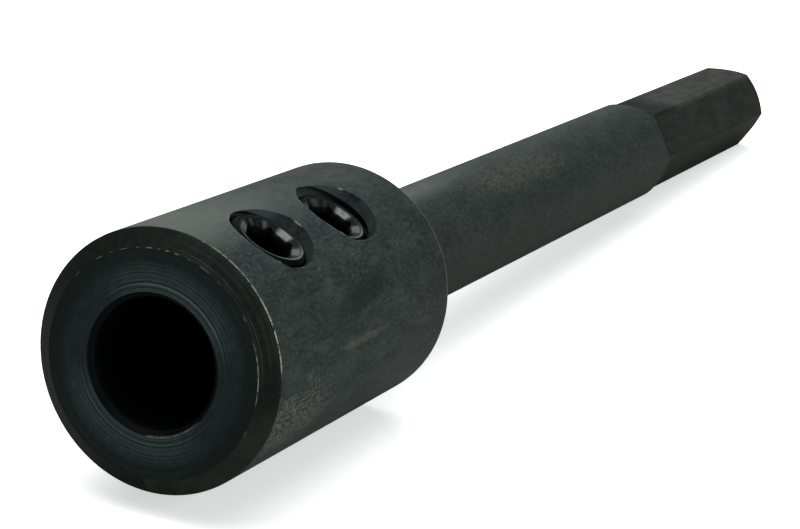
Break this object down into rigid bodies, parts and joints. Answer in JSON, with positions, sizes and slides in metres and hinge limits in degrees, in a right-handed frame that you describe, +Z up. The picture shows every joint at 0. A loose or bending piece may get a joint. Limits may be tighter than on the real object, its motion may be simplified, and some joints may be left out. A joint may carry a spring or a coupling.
{
  "type": "drill bit extension",
  "caption": "Straight steel drill bit extension: thick collar with a blind shank bore and socket set screws, plain round shaft and chamfered hexagonal drive shank.",
  "frame": {"origin": "middle of the bottom of the part's box as it lies on the rear rim of its collar and on the end of one flat of the hexagon", "axes": "+Z up from the surface it lies on; +X from the bore mouth towards the hexagonal end, with the bar's axis 2.9 degrees below it; the set screws point up and lean towards -Y"},
  "size_m": [0.181, 0.0254, 0.0273],
  "materials": {
    "blackened_bar": "black oxide, satin, with turning marks and light handling wear",
    "blackened_screw": "black oxide, satin, worn bright on the edge of the socket face"
  },
  "bodies": {
    "bar": {"extension_body": "blackened_bar"},
    "front_screw": {"set_screw_front": "blackened_screw"},
    "rear_screw": {"set_screw_rear": "blackened_screw"}
  },
  "joints": [
    {"name": "front_screw_travel", "type": "slide", "parent": "bar", "child": "front_screw", "axis": [0.0459, -0.4305, 0.9014], "range_m": [-0.00159, 0.00317]},
    {"name": "rear_screw_travel", "type": "slide", "parent": "bar", "child": "rear_screw", "axis": [0.0459, -0.4305, 0.9014], "range_m": [-0.00159, 0.00317]}
  ]
}
